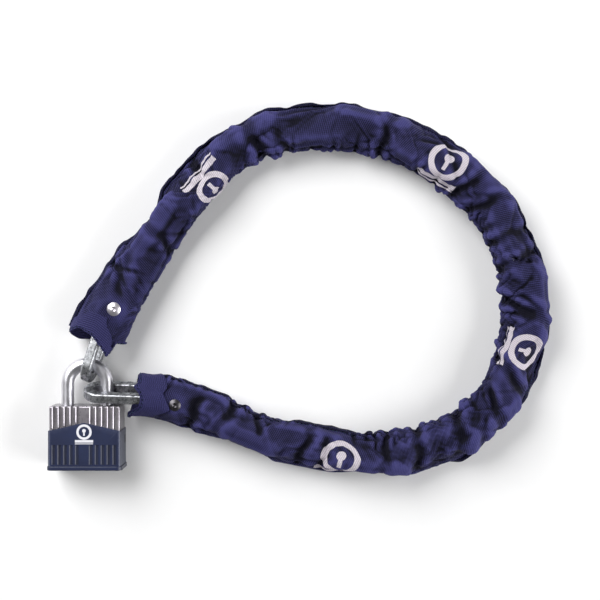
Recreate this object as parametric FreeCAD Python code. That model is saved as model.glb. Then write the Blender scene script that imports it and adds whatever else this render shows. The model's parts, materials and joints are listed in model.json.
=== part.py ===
import FreeCAD, Part
import os
from math import cos, radians, sin, sqrt

from FreeCAD import Rotation, Vector

# Padlock and security chain, closed in a loop and lying flat on a table.
# Millimetres. X to the right, Y up the table, Z up off the table.
# Everything is drawn in the padlock's own frame first: X = 0 on its centre line,
# Y = 0 at its base, Z = 0 on the table. keep() then moves it to the row's frame.

# ---- driving dimensions: padlock ----
AXIS_Z = 15.5              # height of the shackle, ball and cylinder axes over the table
LOCK_HEIGHT = 50.0         # base to top face
JACKET_WIDTH = 57.0
JACKET_DEPTH = 29.4
JACKET_WALL = 1.4          # front and back
JACKET_SIDE_WALL = 0.9
JACKET_PEAK_Y = 37.3       # chevron edge at the centre line
JACKET_SIDE_Y = 30.9       # chevron edge at the flanks
BODY_WIDTH = JACKET_WIDTH - 2 * JACKET_SIDE_WALL
BODY_DEPTH = JACKET_DEPTH - 2 * JACKET_WALL
JACKET_CORNER = 2.0
BODY_CORNER = 1.1
BODY_TOP_ROUND = 0.9
CAP_CORNER = 4.4
CAP_WIDTH = 59.0
CAP_DEPTH = 31.0
CAP_HEIGHT = 3.2
FIT = 0.05                 # gap between parts that are pressed or glued together

FLUTE_X = (5.4, 10.0, 14.6, 19.2, 23.8)   # flutes either side of the flat centre
FLUTE_RADIUS = 2.0
FLUTE_DEPTH = 0.8
CLIP_DEPTH = 0.6           # of the clip's pocket in the jacket's flank
JACKET_FLUTE_Y = (4.6, 19.9)

SHACKLE_RADIUS = 5.0
LEG_X = 15.5               # leg axis from the centre line
BOW_Y = 66.9               # centre of the bow
HEEL_END_Y = 14.0
TOE_END_Y = 35.2
LEG_BORE_RADIUS = 5.3
HEEL_BORE_Y = 4.0
TOE_BORE_Y = 34.6
NECK_RADIUS = 3.5
NECK_Y = (16.0, 34.0)      # thin stretch that runs past the heel retaining pin
HEEL_PIN_RADIUS = 1.25
HEEL_PIN_X = -(LEG_X - NECK_RADIUS - 0.2 - HEEL_PIN_RADIUS)
HEEL_PIN_Y = 32.4
HEEL_PIN_DEPTH = 7.8       # how far the pin reaches below the shackle's axis
HEEL_PIN_GAP = 0.2         # from the pin's front end to the casting's face
SHACKLE_CHAMFER = 0.8
SHACKLE_SPRING = {"radius": 3.7, "wire_radius": 0.7, "pitch": 1.95, "gap": 0.15}
SHACKLE_LIFT = 15.0        # travel of the shackle when the lock opens

BALL_RADIUS = 3.25
BALL_X = 8.95              # ball centre from the centre line, locked
BALL_Y = 42.0
BALL_TRAVEL = 4.2
BALL_CHANNEL_RADIUS = 3.4

CAM_TIP = 5.35             # locking cam: pointed tongue between the balls
CAM_HALF_THICKNESS = 1.3
CAM_DISC_RADIUS = 5.7
CAM_BORE_RADIUS = 6.0
CAM_Y = (33.4, 38.2, 45.4)   # disc start, disc end, tongue end
CAM_TAIL_Y = 30.1
CAM_TAIL_HALF_WIDTH = 4.0
CAM_TAIL_HALF_THICKNESS = 1.2

PLUG_RADIUS = 5.2
PLUG_HEAD_RADIUS = 5.9
PLUG_Y = (0.9, 2.1, 32.0)    # head start, head end, rear end
PLUG_GROOVE_Y = (28.2, 29.4)
PLUG_GROOVE_RADIUS = 4.2
SHELL_RADIUS = 7.5
SHELL_BORE_RADIUS = 5.3
SHELL_Y = (2.3, 28.0)
BIBLE_Y = 3.5                # start of the ridge that holds the driver pins
BIBLE_HALF_WIDTH = 2.6
BIBLE_TOP = 11.2             # over the cylinder's axis
KEYWAY_WIDTH = 2.4
CHAMBER_Y = (8.0, 12.0, 16.0, 20.0, 24.0)
CHAMBER_RADIUS = 1.45
KEYWAY_Z = (-4.6, 3.2)       # keyway's floor and roof, from the axis
KEYWAY_LENGTH = 27.0
TAIL_SLOT_Y = 29.8           # slot at the plug's rear that turns the cam
TAIL_SLOT_WIDTH = 2.6
COVER_HALF_WIDTH = 1.9       # strip that closes the pin chambers
COVER_MARGIN = 2.4
COVER_THICKNESS = 0.7
CLIP_RING_RADIUS = 6.8
CLIP_RING_MOUTH = 5.8
PIN_RADIUS = 1.35
PIN_TIP_RADIUS = 0.5
PIN_TIP_LENGTH = 1.0
PIN_SPRING = {"radius": 1.0, "wire_radius": 0.2, "pitch": 0.58, "gap_below": 0.03, "gap_above": 0.08}
KEY_PIN_LENGTHS = (3.6, 4.4, 3.2, 4.0, 3.4)
SHEAR_TOP = 5.0              # flat tops of the key pins, lifted to the shear line
DRIVER_PIN = (5.36, 7.9)     # driver pin ends over the axis
SCREWS = ((-21.5, AXIS_Z + 8.5), (21.5, AXIS_Z - 8.5))
SCREW_RADIUS = 1.7

# ---- driving dimensions: chain ----
BAR = 7.7                  # square bar
BAR_ROUND = 1.7            # radius on the bar's edges
LINK_INNER_LENGTH = 53.2
LINK_INNER_WIDTH = 14.0
PIVOT_INSET = 1.6          # pivot to the crown's inner face: the slack between two links
PITCH = LINK_INNER_LENGTH - 2 * PIVOT_INSET
CHAIN_Z = 16.0
WELD_LENGTH = 5.0
WELD_PROUD = 0.3
BOW_CONTACT_ANGLE = 80.0   # where the first link hangs inside the bow
BOW_PIVOT_GAP = 0.4        # pivot of the first link to the inside of the bow
BOW_LINK_INSET = 1.0       # the same pivot to that link's crown
# direction of each link in plan, and the tilt of its plane from the table, degrees
HEADINGS = (72, 57, 56, 49, 28, 4, -13, -29, -46, -66, -87, -111, -136, -161, -185, -191, -203, -200, -182)
TILTS = (84, -14, 65, -27, 57, -35, 50, -41, 46, -45, 46, -42, 50, -36, 57, -28, 63, -20, 71)
LINK_COUNT = len(HEADINGS)

# ---- driving dimensions: sleeve ----
SLEEVE_HALF_WIDTH = 19.2
SLEEVE_HALF_HEIGHT = 16.0
SLEEVE_WALL = 0.7
SECTION_GAP = 3.2          # room between sections for the chain to bend
BOW_CUFF_LENGTH = 18.0     # fabric on the first link
LEG_CUFF_LENGTH = 17.0     # fabric on the last link
BOW_CUFF_PULLBACK = 4.0    # its joint with the next section lies this far short of the pivot

RIVET_BOW = {"radius": 5.35, "height": 1.9, "along": 4.2, "across": -4.5, "washer_radius": 3.2}
RIVET_LEG = {"radius": 4.65, "height": 1.5, "along": 16.2, "across": -2.2, "washer_radius": 3.2}
RIVET_DIMPLE = {"mouth": 0.6, "floor": 0.15, "level": 0.3}   # shares of the head's radius and height
RIVET_SHANK_RADIUS = 1.8
WASHER_THICKNESS = 0.4

# centre of the whole object's box in the padlock's frame
ROW_ORIGIN = Vector(170.37, 140.62, 0.0)

X_AXIS = Vector(1, 0, 0)
Y_AXIS = Vector(0, 1, 0)
Z_AXIS = Vector(0, 0, 1)


# ---- small helpers ----
def cylinder(radius, start, axis, length):
    return Part.makeCylinder(radius, length, start, axis)


def box(low, high):
    return Part.makeBox(high[0] - low[0], high[1] - low[1], high[2] - low[2], Vector(*low))


def fuse(shapes):
    return shapes[0].multiFuse(list(shapes[1:])).removeSplitter()


def upright(radius, x, z, y0, y1):
    """Round bar or bore along Y."""
    return cylinder(radius, Vector(x, y0, z), Y_AXIS, y1 - y0)


def rounded_plan(width, depth, corner, y0, y1):
    """Block with its four Y edges rounded, centred on the padlock's axis."""
    half_w = width / 2
    low = (-half_w, y0, AXIS_Z - depth / 2)
    high = (half_w, y1, AXIS_Z + depth / 2)
    block = box(low, high)
    edges = [e for e in block.Edges if abs(e.tangentAt(e.FirstParameter).y) > 0.9]
    return block.makeFillet(corner, edges)


def helix_spring(radius, wire_radius, pitch, height, base, axis):
    """Coil whose axis runs from base along axis."""
    path = Part.makeHelix(pitch, height, radius)
    profile = Part.Wire(Part.makeCircle(wire_radius, Vector(radius, 0, 0), Y_AXIS))
    coil = Part.Wire(path.Edges).makePipeShell([profile], True, True)
    coil.Placement = FreeCAD.Placement(base, Rotation(Z_AXIS, axis))
    return coil


def keep(name, shape):
    moved = shape.copy()
    moved.translate(-ROW_ORIGIN)
    moved.exportStep(f"parts/{name}.step")


# ---- padlock body and covers ----
def flutes(face_z, outward, y0, y1):
    """Round-bottomed grooves in a face at height face_z."""
    centre_z = face_z + outward * (FLUTE_RADIUS - FLUTE_DEPTH)
    return [upright(FLUTE_RADIUS, side * x, centre_z, y0, y1) for x in FLUTE_X for side in (-1, 1)]


def make_lock_body():
    body = rounded_plan(BODY_WIDTH, BODY_DEPTH, BODY_CORNER, CAP_HEIGHT, LOCK_HEIGHT)
    top_edges = [e for e in body.Edges if e.BoundBox.YMin > LOCK_HEIGHT - 0.01]
    body = body.makeFillet(BODY_TOP_ROUND, top_edges)
    front = AXIS_Z + BODY_DEPTH / 2
    back = AXIS_Z - BODY_DEPTH / 2
    cuts = flutes(front, 1, CAP_HEIGHT - 1, LOCK_HEIGHT + 1)
    cuts += flutes(back, -1, CAP_HEIGHT - 1, LOCK_HEIGHT + 1)
    cuts.append(upright(LEG_BORE_RADIUS, -LEG_X, AXIS_Z, HEEL_BORE_Y, LOCK_HEIGHT + 1))
    cuts.append(upright(LEG_BORE_RADIUS, LEG_X, AXIS_Z, TOE_BORE_Y, LOCK_HEIGHT + 1))
    cuts.append(cylinder(BALL_CHANNEL_RADIUS, Vector(-LEG_X, BALL_Y, AXIS_Z), X_AXIS, 2 * LEG_X))
    cuts.append(upright(CAM_BORE_RADIUS, 0, AXIS_Z, PLUG_Y[2], CAM_Y[2] + 0.8))
    cuts.append(upright(SHELL_RADIUS + FIT, 0, AXIS_Z, CAP_HEIGHT - 1, PLUG_Y[2] + 0.4))
    half = BIBLE_HALF_WIDTH + FIT
    cuts.append(box((-half, CAP_HEIGHT - 1, AXIS_Z), (half, SHELL_Y[1] + FIT, AXIS_Z + BIBLE_TOP + FIT)))
    pin_hole = Vector(HEEL_PIN_X, HEEL_PIN_Y, AXIS_Z - 8)
    cuts.append(cylinder(HEEL_PIN_RADIUS + FIT, pin_hole, Z_AXIS, front - AXIS_Z + 9))
    for x, z in SCREWS:
        cuts.append(upright(SCREW_RADIUS + FIT, x, z, CAP_HEIGHT - 1, 15.0))
    return body.cut(cuts)


def make_body_jacket():
    skin = rounded_plan(JACKET_WIDTH, JACKET_DEPTH, JACKET_CORNER, CAP_HEIGHT + FIT, JACKET_PEAK_Y)
    hollow = rounded_plan(BODY_WIDTH + 2 * FIT, BODY_DEPTH + 2 * FIT, BODY_CORNER,
                          CAP_HEIGHT - 1, JACKET_PEAK_Y + 1)
    reach = JACKET_WIDTH / 2
    slope = (JACKET_PEAK_Y - JACKET_SIDE_Y) / reach
    over = reach + 2
    edge_y = JACKET_PEAK_Y - slope * over
    roof = [Vector(-over, edge_y, -1), Vector(0, JACKET_PEAK_Y, -1), Vector(over, edge_y, -1),
            Vector(over, JACKET_PEAK_Y + 3, -1), Vector(-over, JACKET_PEAK_Y + 3, -1)]
    chevron = Part.Face(Part.makePolygon(roof + roof[:1])).extrude(Vector(0, 0, CAP_DEPTH + 4))
    cuts = [hollow, chevron]
    cuts += flutes(AXIS_Z + JACKET_DEPTH / 2, 1, *JACKET_FLUTE_Y)
    cuts += flutes(AXIS_Z - JACKET_DEPTH / 2, -1, *JACKET_FLUTE_Y)
    cuts.append(clip_block(FIT))
    return skin.cut(cuts)


def clip_block(grow):
    low = (JACKET_WIDTH / 2 - CLIP_DEPTH - grow, 19.4 - grow, 4.6 - grow)
    high = (JACKET_WIDTH / 2 + 0.3, 25.8 + grow, 8.2 + grow)
    return box(low, high)


def make_jacket_clip():
    clip = clip_block(0)
    edges = [e for e in clip.Edges if e.BoundBox.XMin > JACKET_WIDTH / 2]
    return clip.makeFillet(0.25, edges)


def make_base_cap():
    cap = rounded_plan(CAP_WIDTH, CAP_DEPTH, CAP_CORNER, 0, CAP_HEIGHT)
    rim = [e for e in cap.Edges if e.BoundBox.YMax < 0.01 or e.BoundBox.YMin > CAP_HEIGHT - 0.01]
    cap = cap.makeFillet(0.6, rim)
    cuts = [upright(PLUG_HEAD_RADIUS + 0.3, 0, AXIS_Z, -1, CAP_HEIGHT + 1),
            upright(SHELL_RADIUS + FIT, 0, AXIS_Z, SHELL_Y[0] - FIT, CAP_HEIGHT + 1)]
    for x, z in SCREWS:
        cuts.append(upright(SCREW_RADIUS + 0.1, x, z, -1, CAP_HEIGHT + 1))
        cuts.append(Part.makeCone(3.4, SCREW_RADIUS + 0.1, 1.9, Vector(x, 0, z), Y_AXIS))
    return cap.cut(cuts)


def make_base_screws():
    screws = []
    for x, z in SCREWS:
        head = Part.makeCone(3.1, SCREW_RADIUS, 1.6, Vector(x, 0.25, z), Y_AXIS)
        screw = fuse([head, upright(SCREW_RADIUS, x, z, 1.0, 14.0)])
        slots = [box((x - 1.6, 0, z - 0.3), (x + 1.6, 0.9, z + 0.3)),
                 box((x - 0.3, 0, z - 1.6), (x + 0.3, 0.9, z + 1.6))]
        screws.append(screw.cut(slots))
    return Part.makeCompound(screws)


# ---- shackle and its locking parts ----
def ball_track(side):
    """Space that a ball sweeps in the moving leg while the ball draws back and the leg lifts."""
    start = Vector(side * BALL_X, BALL_Y, AXIS_Z)
    path = Vector(-side * BALL_TRAVEL, -SHACKLE_LIFT, 0) * 0.55
    ramp = cylinder(BALL_CHANNEL_RADIUS, start, path, path.Length)
    return fuse([ramp, Part.makeSphere(BALL_CHANNEL_RADIUS, start)])


def make_shackle():
    bow_centre = Vector(0, BOW_Y, AXIS_Z)
    ring = Part.Face(Part.Wire(Part.makeCircle(SHACKLE_RADIUS, Vector(LEG_X, BOW_Y, AXIS_Z), Y_AXIS)))
    bow = ring.revolve(bow_centre, Z_AXIS, 180)
    legs = []
    for x, end in ((-LEG_X, HEEL_END_Y), (LEG_X, TOE_END_Y)):
        leg = upright(SHACKLE_RADIUS, x, AXIS_Z, end, BOW_Y)
        foot = [e for e in leg.Edges if e.BoundBox.YMax < end + 0.01]
        legs.append(leg.makeChamfer(SHACKLE_CHAMFER, foot))
    shackle = fuse([bow] + legs)
    neck = upright(SHACKLE_RADIUS + 1, -LEG_X, AXIS_Z, *NECK_Y).cut(
        upright(NECK_RADIUS, -LEG_X, AXIS_Z, *NECK_Y))
    return shackle.cut([neck, ball_track(-1), ball_track(1)])


def make_ball(side):
    return Part.makeSphere(BALL_RADIUS, Vector(side * BALL_X, BALL_Y, AXIS_Z))


def make_locking_cam():
    disc = upright(CAM_DISC_RADIUS, 0, AXIS_Z, CAM_Y[0], CAM_Y[1])
    corners = [(CAM_TIP, 0), (0, CAM_HALF_THICKNESS), (-CAM_TIP, 0), (0, -CAM_HALF_THICKNESS)]
    outline = [Vector(x, CAM_Y[1], AXIS_Z + z) for x, z in corners]
    tongue = Part.Face(Part.makePolygon(outline + outline[:1])).extrude(Y_AXIS * (CAM_Y[2] - CAM_Y[1]))
    tail = box((-CAM_TAIL_HALF_WIDTH, CAM_TAIL_Y, AXIS_Z - CAM_TAIL_HALF_THICKNESS),
               (CAM_TAIL_HALF_WIDTH, CAM_Y[0], AXIS_Z + CAM_TAIL_HALF_THICKNESS))
    return fuse([disc, tongue, tail])


def make_heel_retaining_pin():
    start = Vector(HEEL_PIN_X, HEEL_PIN_Y, AXIS_Z - HEEL_PIN_DEPTH)
    return cylinder(HEEL_PIN_RADIUS, start, Z_AXIS, BODY_DEPTH / 2 + HEEL_PIN_DEPTH - HEEL_PIN_GAP)


def make_shackle_spring():
    wire = SHACKLE_SPRING["wire_radius"]
    end_gap = wire + SHACKLE_SPRING["gap"]
    base = Vector(-LEG_X, HEEL_BORE_Y + end_gap, AXIS_Z)
    height = HEEL_END_Y - HEEL_BORE_Y - 2 * end_gap
    return helix_spring(SHACKLE_SPRING["radius"], wire, SHACKLE_SPRING["pitch"], height, base, Y_AXIS)


# ---- pin-tumbler cylinder ----
def make_cylinder_shell():
    tube = upright(SHELL_RADIUS, 0, AXIS_Z, *SHELL_Y)
    ridge = box((-BIBLE_HALF_WIDTH, BIBLE_Y, AXIS_Z), (BIBLE_HALF_WIDTH, SHELL_Y[1], AXIS_Z + BIBLE_TOP))
    cuts = [upright(SHELL_BORE_RADIUS, 0, AXIS_Z, SHELL_Y[0] - 1, SHELL_Y[1] + 1), cover_strip(FIT)]
    cuts += [cylinder(CHAMBER_RADIUS, Vector(0, y, AXIS_Z), Z_AXIS, BIBLE_TOP) for y in CHAMBER_Y]
    return fuse([tube, ridge]).cut(cuts)


def cover_strip(grow):
    half = COVER_HALF_WIDTH + grow
    low = (-half, CHAMBER_Y[0] - COVER_MARGIN - grow, AXIS_Z + BIBLE_TOP - COVER_THICKNESS - grow)
    high = (half, CHAMBER_Y[-1] + COVER_MARGIN + grow, AXIS_Z + BIBLE_TOP)
    return box(low, high)


def make_plug():
    head = upright(PLUG_HEAD_RADIUS, 0, AXIS_Z, PLUG_Y[0], PLUG_Y[1])
    barrel = upright(PLUG_RADIUS, 0, AXIS_Z, PLUG_Y[1], PLUG_Y[2])
    groove = upright(PLUG_RADIUS + 1, 0, AXIS_Z, *PLUG_GROOVE_Y).cut(
        upright(PLUG_GROOVE_RADIUS, 0, AXIS_Z, *PLUG_GROOVE_Y))
    half = KEYWAY_WIDTH / 2
    keyway = box((-half, 0, AXIS_Z + KEYWAY_Z[0]), (half, KEYWAY_LENGTH, AXIS_Z + KEYWAY_Z[1]))
    tail_slot = box((-PLUG_RADIUS - 1, TAIL_SLOT_Y, AXIS_Z - TAIL_SLOT_WIDTH / 2),
                    (PLUG_RADIUS + 1, PLUG_Y[2] + 1, AXIS_Z + TAIL_SLOT_WIDTH / 2))
    cuts = [groove, keyway, tail_slot]
    cuts += [cylinder(CHAMBER_RADIUS, Vector(0, y, AXIS_Z), Z_AXIS, PLUG_RADIUS + 1) for y in CHAMBER_Y]
    return fuse([head, barrel]).cut(cuts)


def make_key_pins():
    pins = []
    for y, length in zip(CHAMBER_Y, KEY_PIN_LENGTHS):
        top = AXIS_Z + SHEAR_TOP
        shank_low = Vector(0, y, top - length + PIN_TIP_LENGTH)
        shank = cylinder(PIN_RADIUS, shank_low, Z_AXIS, length - PIN_TIP_LENGTH)
        tip = Part.makeCone(PIN_TIP_RADIUS, PIN_RADIUS, PIN_TIP_LENGTH, Vector(0, y, top - length), Z_AXIS)
        pins.append(fuse([shank, tip]))
    return Part.makeCompound(pins)


def make_driver_pins():
    low, high = DRIVER_PIN
    return Part.makeCompound(
        [cylinder(PIN_RADIUS, Vector(0, y, AXIS_Z + low), Z_AXIS, high - low) for y in CHAMBER_Y])


def make_pin_springs():
    wire = PIN_SPRING["wire_radius"]
    base = DRIVER_PIN[1] + wire + PIN_SPRING["gap_below"]
    height = BIBLE_TOP - COVER_THICKNESS - base - wire - PIN_SPRING["gap_above"]
    return Part.makeCompound(
        [helix_spring(PIN_SPRING["radius"], wire, PIN_SPRING["pitch"], height,
                      Vector(0, y, AXIS_Z + base), Z_AXIS) for y in CHAMBER_Y])


def make_plug_clip():
    y0 = PLUG_GROOVE_Y[0] + FIT
    y1 = PLUG_GROOVE_Y[1] - FIT
    ring = upright(CLIP_RING_RADIUS, 0, AXIS_Z, y0, y1)
    ring = ring.cut(upright(PLUG_GROOVE_RADIUS + FIT, 0, AXIS_Z, y0, y1))
    half = CLIP_RING_MOUTH / 2
    mouth = box((-half, y0 - 1, AXIS_Z - CLIP_RING_RADIUS - 1), (half, y1 + 1, AXIS_Z))
    return ring.cut(mouth)


# ---- chain ----
def racetrack(length, width):
    """Flat loop in XY: two straights joined by half circles."""
    radius = width / 2
    straight = length / 2 - radius
    corners = [Vector(-straight, -radius, 0), Vector(straight, -radius, 0),
               Vector(straight, radius, 0), Vector(-straight, radius, 0)]
    edges = [Part.makeLine(corners[0], corners[1]),
             Part.Arc(corners[1], Vector(length / 2, 0, 0), corners[2]).toShape(),
             Part.makeLine(corners[2], corners[3]),
             Part.Arc(corners[3], Vector(-length / 2, 0, 0), corners[0]).toShape()]
    return Part.Face(Part.Wire(edges))


def make_link():
    """One link, centred, its length along X and its plane in XY."""
    outer = racetrack(LINK_INNER_LENGTH + 2 * BAR, LINK_INNER_WIDTH + 2 * BAR)
    inner = racetrack(LINK_INNER_LENGTH, LINK_INNER_WIDTH)
    link = outer.extrude(Z_AXIS * BAR).cut(inner.extrude(Z_AXIS * BAR))
    link.translate(Z_AXIS * (-BAR / 2))
    rims = [e for e in link.Edges if e.BoundBox.ZLength < 0.001]
    link = link.makeFillet(BAR_ROUND, rims)
    side = BAR + 2 * WELD_PROUD
    bar_y = -(LINK_INNER_WIDTH + BAR) / 2
    bead = box((-WELD_LENGTH / 2, bar_y - side / 2, -side / 2), (WELD_LENGTH / 2, bar_y + side / 2, side / 2))
    bead = bead.makeFillet(BAR_ROUND + WELD_PROUD / 3, bead.Edges)
    return fuse([link, bead])


def heading_vector(degree):
    return Vector(cos(radians(degree)), sin(radians(degree)), 0)


def chain_layout():
    """Pivots and link centres in plan. pivots[k] is the near end of link k."""
    inside = LEG_X - SHACKLE_RADIUS - BOW_PIVOT_GAP
    pivot = Vector(0, BOW_Y, CHAIN_Z) + heading_vector(BOW_CONTACT_ANGLE) * inside
    pivots = [pivot]
    centres = []
    near = LINK_INNER_LENGTH / 2 - BOW_LINK_INSET
    for heading in HEADINGS:
        direction = heading_vector(heading)
        centres.append(pivot + direction * near)
        pivot = centres[-1] + direction * (PITCH / 2)
        pivots.append(pivot)
        near = PITCH / 2
    return pivots, centres


def place_link(shape, index, centres):
    turn = Rotation(Z_AXIS, HEADINGS[index]).multiply(Rotation(X_AXIS, TILTS[index]))
    placed = shape.copy()
    placed.Placement = FreeCAD.Placement(centres[index], turn)
    return placed


# ---- sleeve ----
def oval_prism(half_width, half_height, heading, start, length):
    """Solid oval bar that runs level from start along heading."""
    ellipse = Part.Ellipse(Vector(0, 0, 0), half_width, half_height)
    face = Part.Face(Part.Wire(ellipse.toShape()))
    bar = face.extrude(Z_AXIS * length)
    stand = Rotation(Vector(0, 1, 0), Vector(0, 0, 1), Vector(1, 0, 0), "ZXY")
    bar.Placement = FreeCAD.Placement(start, Rotation(Z_AXIS, heading).multiply(stand))
    return bar


def half_space(point, normal):
    """Big block on the side of the plane that normal points to."""
    size = 120.0
    block = Part.makeBox(size, size, size, Vector(-size / 2, -size / 2, 0))
    block.Placement = FreeCAD.Placement(point, Rotation(Z_AXIS, normal))
    return block


def tube_between(heading, start, end, start_normal, end_normal):
    """Hollow oval tube from start to end, its ends cut square to the two normals."""
    direction = heading_vector(heading)
    margin = 14.0
    length = (end - start).Length + 2 * margin
    begin = start - direction * margin
    outer = oval_prism(SLEEVE_HALF_WIDTH, SLEEVE_HALF_HEIGHT, heading, begin, length)
    inner = oval_prism(
        SLEEVE_HALF_WIDTH - SLEEVE_WALL, SLEEVE_HALF_HEIGHT - SLEEVE_WALL, heading, begin, length)
    return outer.cut([inner, half_space(start, -start_normal), half_space(end, end_normal)])


def mitre(index):
    """Plane normal at the joint between link index and the next one."""
    return heading_vector((HEADINGS[index] + HEADINGS[index + 1]) / 2)


def make_sleeve_section(index, pivots):
    first, last = mitre(index - 1), mitre(index)
    shift = -BOW_CUFF_PULLBACK if index == 1 else 0.0
    start = pivots[index] + first * (SECTION_GAP / 2 + shift)
    end = pivots[index + 1] - last * (SECTION_GAP / 2)
    return tube_between(HEADINGS[index], start, end, first, last)


def make_bow_cuff(pivots):
    direction = heading_vector(HEADINGS[0])
    normal = mitre(0)
    end = pivots[1] - normal * (SECTION_GAP / 2 + BOW_CUFF_PULLBACK)
    return tube_between(HEADINGS[0], end - direction * BOW_CUFF_LENGTH, end, direction, normal)


def make_leg_cuff(pivots):
    direction = heading_vector(HEADINGS[-1])
    normal = mitre(LINK_COUNT - 2)
    start = pivots[LINK_COUNT - 1] + normal * (SECTION_GAP / 2)
    return tube_between(HEADINGS[-1], start, start + direction * LEG_CUFF_LENGTH, normal, direction)


def rivet_seat(spec, pivot, heading):
    """Point on a rivet's axis, level with the top of the sleeve."""
    direction = heading_vector(heading)
    sideways = Vector(-direction.y, direction.x, 0)
    point = pivot + direction * spec["along"] + sideways * spec["across"]
    return Vector(point.x, point.y, CHAIN_Z + SLEEVE_HALF_HEIGHT + FIT)


def washer_top(spec):
    """Highest level at which a washer clears the curved inside of the sleeve."""
    edge = (abs(spec["across"]) + spec["washer_radius"]) / (SLEEVE_HALF_WIDTH - SLEEVE_WALL)
    return CHAIN_Z + (SLEEVE_HALF_HEIGHT - SLEEVE_WALL) * sqrt(1 - edge ** 2) - FIT


def make_rivet(spec, seat):
    """Domed head with a dimple in its middle, and a shank through the fabric to the washer."""
    radius, height = spec["radius"], spec["height"]
    ball_radius = (radius ** 2 + height ** 2) / (2 * height)
    dome = Part.makeSphere(ball_radius, Vector(seat.x, seat.y, seat.z + height - ball_radius))
    above = box((seat.x - radius - 1, seat.y - radius - 1, seat.z),
                (seat.x + radius + 1, seat.y + radius + 1, seat.z + height + 1))
    shank_low = washer_top(spec) - WASHER_THICKNESS - 0.1
    shank = cylinder(RIVET_SHANK_RADIUS, Vector(seat.x, seat.y, shank_low), Z_AXIS, seat.z - shank_low + 0.2)
    floor = Vector(seat.x, seat.y, seat.z + RIVET_DIMPLE["level"] * height)
    dimple = Part.makeCone(RIVET_DIMPLE["floor"] * radius, RIVET_DIMPLE["mouth"] * radius, height, floor, Z_AXIS)
    return fuse([dome.common(above), shank]).cut(dimple)


def make_rivet_washer(spec, seat):
    low = Vector(seat.x, seat.y, washer_top(spec) - WASHER_THICKNESS)
    disc = cylinder(spec["washer_radius"], low, Z_AXIS, WASHER_THICKNESS)
    return disc.cut(cylinder(RIVET_SHANK_RADIUS + FIT, low, Z_AXIS, WASHER_THICKNESS))


def rivet_hole(seat):
    low = Vector(seat.x, seat.y, CHAIN_Z)
    return cylinder(RIVET_SHANK_RADIUS + FIT, low, Z_AXIS, SLEEVE_HALF_HEIGHT + 1)


# ---- assembly ----
def build():
    os.makedirs("parts", exist_ok=True)
    pivots, centres = chain_layout()
    made = {
        "lock_body": make_lock_body(),
        "body_jacket": make_body_jacket(),
        "jacket_clip": make_jacket_clip(),
        "base_cap": make_base_cap(),
        "base_screws": make_base_screws(),
        "shackle": make_shackle(),
        "heel_ball": make_ball(-1),
        "toe_ball": make_ball(1),
        "locking_cam": make_locking_cam(),
        "heel_retaining_pin": make_heel_retaining_pin(),
        "shackle_spring": make_shackle_spring(),
        "cylinder_shell": make_cylinder_shell(),
        "chamber_cover": cover_strip(0),
        "plug": make_plug(),
        "key_pins": make_key_pins(),
        "driver_pins": make_driver_pins(),
        "pin_springs": make_pin_springs(),
        "plug_clip": make_plug_clip(),
    }
    link = make_link()
    for index in range(LINK_COUNT):
        made[f"link_{index + 1:02d}"] = place_link(link, index, centres)

    bow_seat = rivet_seat(RIVET_BOW, pivots[1], HEADINGS[1])
    leg_seat = rivet_seat(RIVET_LEG, pivots[LINK_COUNT - 1], HEADINGS[-2] + 180)
    made["cuff_bow_end"] = make_bow_cuff(pivots)
    made["cuff_leg_end"] = make_leg_cuff(pivots)
    for index in range(1, LINK_COUNT - 1):
        section = make_sleeve_section(index, pivots)
        if index == 1:
            section = section.cut(rivet_hole(bow_seat))
        if index == LINK_COUNT - 2:
            section = section.cut(rivet_hole(leg_seat))
        made[f"sleeve_section_{index + 1:02d}"] = section
    for end, spec, seat in (("bow", RIVET_BOW, bow_seat), ("leg", RIVET_LEG, leg_seat)):
        made[f"{end}_end_rivet"] = make_rivet(spec, seat)
        made[f"{end}_end_washer"] = make_rivet_washer(spec, seat)

    for name, shape in made.items():
        keep(name, shape)
    return made, pivots, centres


MADE, PIVOTS, CENTRES = build()
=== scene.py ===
"""Visual model of a chain lock: a fluted padlock, and a square-link chain in a woven sleeve."""

import json
import math

import bmesh
import bpy
import numpy as np
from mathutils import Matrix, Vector, noise
from mathutils.bvhtree import BVHTree


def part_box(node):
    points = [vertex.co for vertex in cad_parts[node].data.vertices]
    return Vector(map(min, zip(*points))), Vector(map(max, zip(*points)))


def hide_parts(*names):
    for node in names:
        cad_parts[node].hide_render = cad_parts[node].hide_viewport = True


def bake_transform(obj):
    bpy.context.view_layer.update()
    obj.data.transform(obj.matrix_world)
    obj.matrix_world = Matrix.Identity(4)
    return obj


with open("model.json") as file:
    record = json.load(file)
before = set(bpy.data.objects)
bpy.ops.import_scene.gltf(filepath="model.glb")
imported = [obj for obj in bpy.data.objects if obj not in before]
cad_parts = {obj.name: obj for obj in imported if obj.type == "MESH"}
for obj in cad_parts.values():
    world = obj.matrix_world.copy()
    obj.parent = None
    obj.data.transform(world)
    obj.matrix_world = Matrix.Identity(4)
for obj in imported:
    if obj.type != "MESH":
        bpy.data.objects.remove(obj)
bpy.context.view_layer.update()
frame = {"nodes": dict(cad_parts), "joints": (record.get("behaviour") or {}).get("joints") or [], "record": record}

MM = 0.001
LINKS = 19
rng = np.random.default_rng(20)

# ---------------------------------------------------------------- sizes of the sleeve, in metres
SLEEVE_AROUND = 0.122  # flat width of the cloth round the chain
SLEEVE_HALF_HEIGHT = 0.0162
SLEEVE_MIDDLE = 0.0168  # height of the sleeve's middle above the table
FLOOR_GAP = 0.0006
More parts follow.
